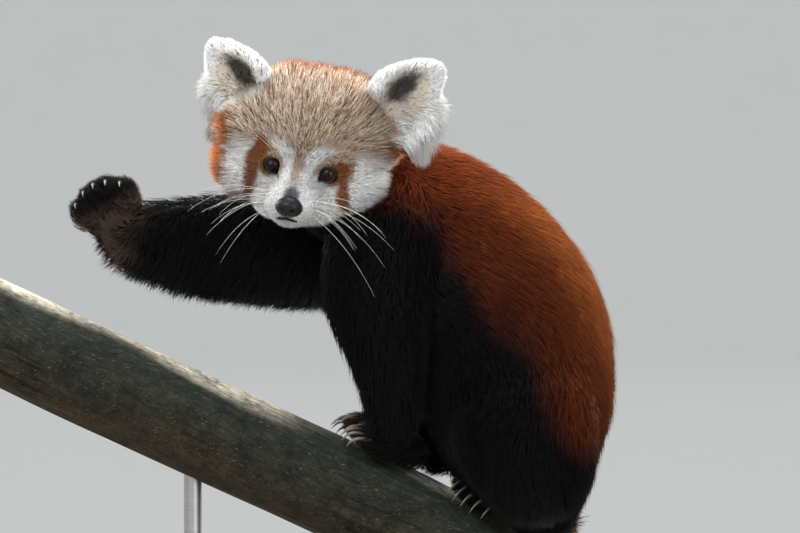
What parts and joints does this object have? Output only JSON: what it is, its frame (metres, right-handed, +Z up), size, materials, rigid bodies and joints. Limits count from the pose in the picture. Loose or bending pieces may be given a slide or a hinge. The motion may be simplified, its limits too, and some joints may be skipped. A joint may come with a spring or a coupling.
{
  "type": "red panda model on a branch and stand",
  "caption": "Life-size red panda sitting on a sloping branch with one forepaw held out, face turned to the side, on a flat base with rods.",
  "frame": {"origin": "centre of the underside of the stand's base", "axes": "+Z up; +X down the slope of the branch, towards the tail; the face looks along -Y"},
  "size_m": [0.6153, 0.3, 0.7428],
  "materials": {
    "fur_rust": "long dense red-brown fur, soft sheen",
    "fur_black": "black-brown fur of belly and legs",
    "fur_face": "short fur, white and grizzled rust",
    "fur_white": "white fur of the ears",
    "fur_tail": "bushy fur in rust and buff rings",
    "eye": "dark brown eye with a clear wet gloss",
    "nose_skin": "moist pebbled blue-black skin",
    "claw_horn": "pale ivory horn, darker at the root",
    "bark": "weathered grey-green bark worn smooth, pale wood at the cut ends",
    "board": "dark stained wood, satin",
    "rod_steel": "brushed steel"
  },
  "bodies": {
    "root": {"stand_base": "board", "stand_rod_1": "rod_steel", "stand_rod_2": "rod_steel", "perch": "bark", "nose": "nose_skin", "eye_left": "eye", "eye_right": "eye", "head": "fur_face", "ear_left": "fur_white", "ear_right": "fur_white", "neck": "fur_rust", "torso": "fur_rust", "leg_front_left": "fur_black", "leg_front_right": "fur_black", "leg_hind_left": "fur_black", "leg_hind_right": "fur_black", "paw_front_left": "fur_black", "paw_front_right": "fur_black", "paw_hind_left": "fur_black", "paw_hind_right": "fur_black", "tail_root": "fur_tail", "tail_middle": "fur_tail", "tail_tip": "fur_tail", "claw_front_left_1": "claw_horn", "claw_front_left_2": "claw_horn", "claw_front_left_3": "claw_horn", "claw_front_left_4": "claw_horn", "claw_front_left_5": "claw_horn", "claw_front_right_1": "claw_horn", "claw_front_right_2": "claw_horn", "claw_front_right_3": "claw_horn", "claw_front_right_4": "claw_horn", "claw_front_right_5": "claw_horn", "claw_hind_left_1": "claw_horn", "claw_hind_left_2": "claw_horn", "claw_hind_left_3": "claw_horn", "claw_hind_left_4": "claw_horn", "claw_hind_left_5": "claw_horn", "claw_hind_right_1": "claw_horn", "claw_hind_right_2": "claw_horn", "claw_hind_right_3": "claw_horn", "claw_hind_right_4": "claw_horn", "claw_hind_right_5": "claw_horn"}
  },
  "joints": []
}
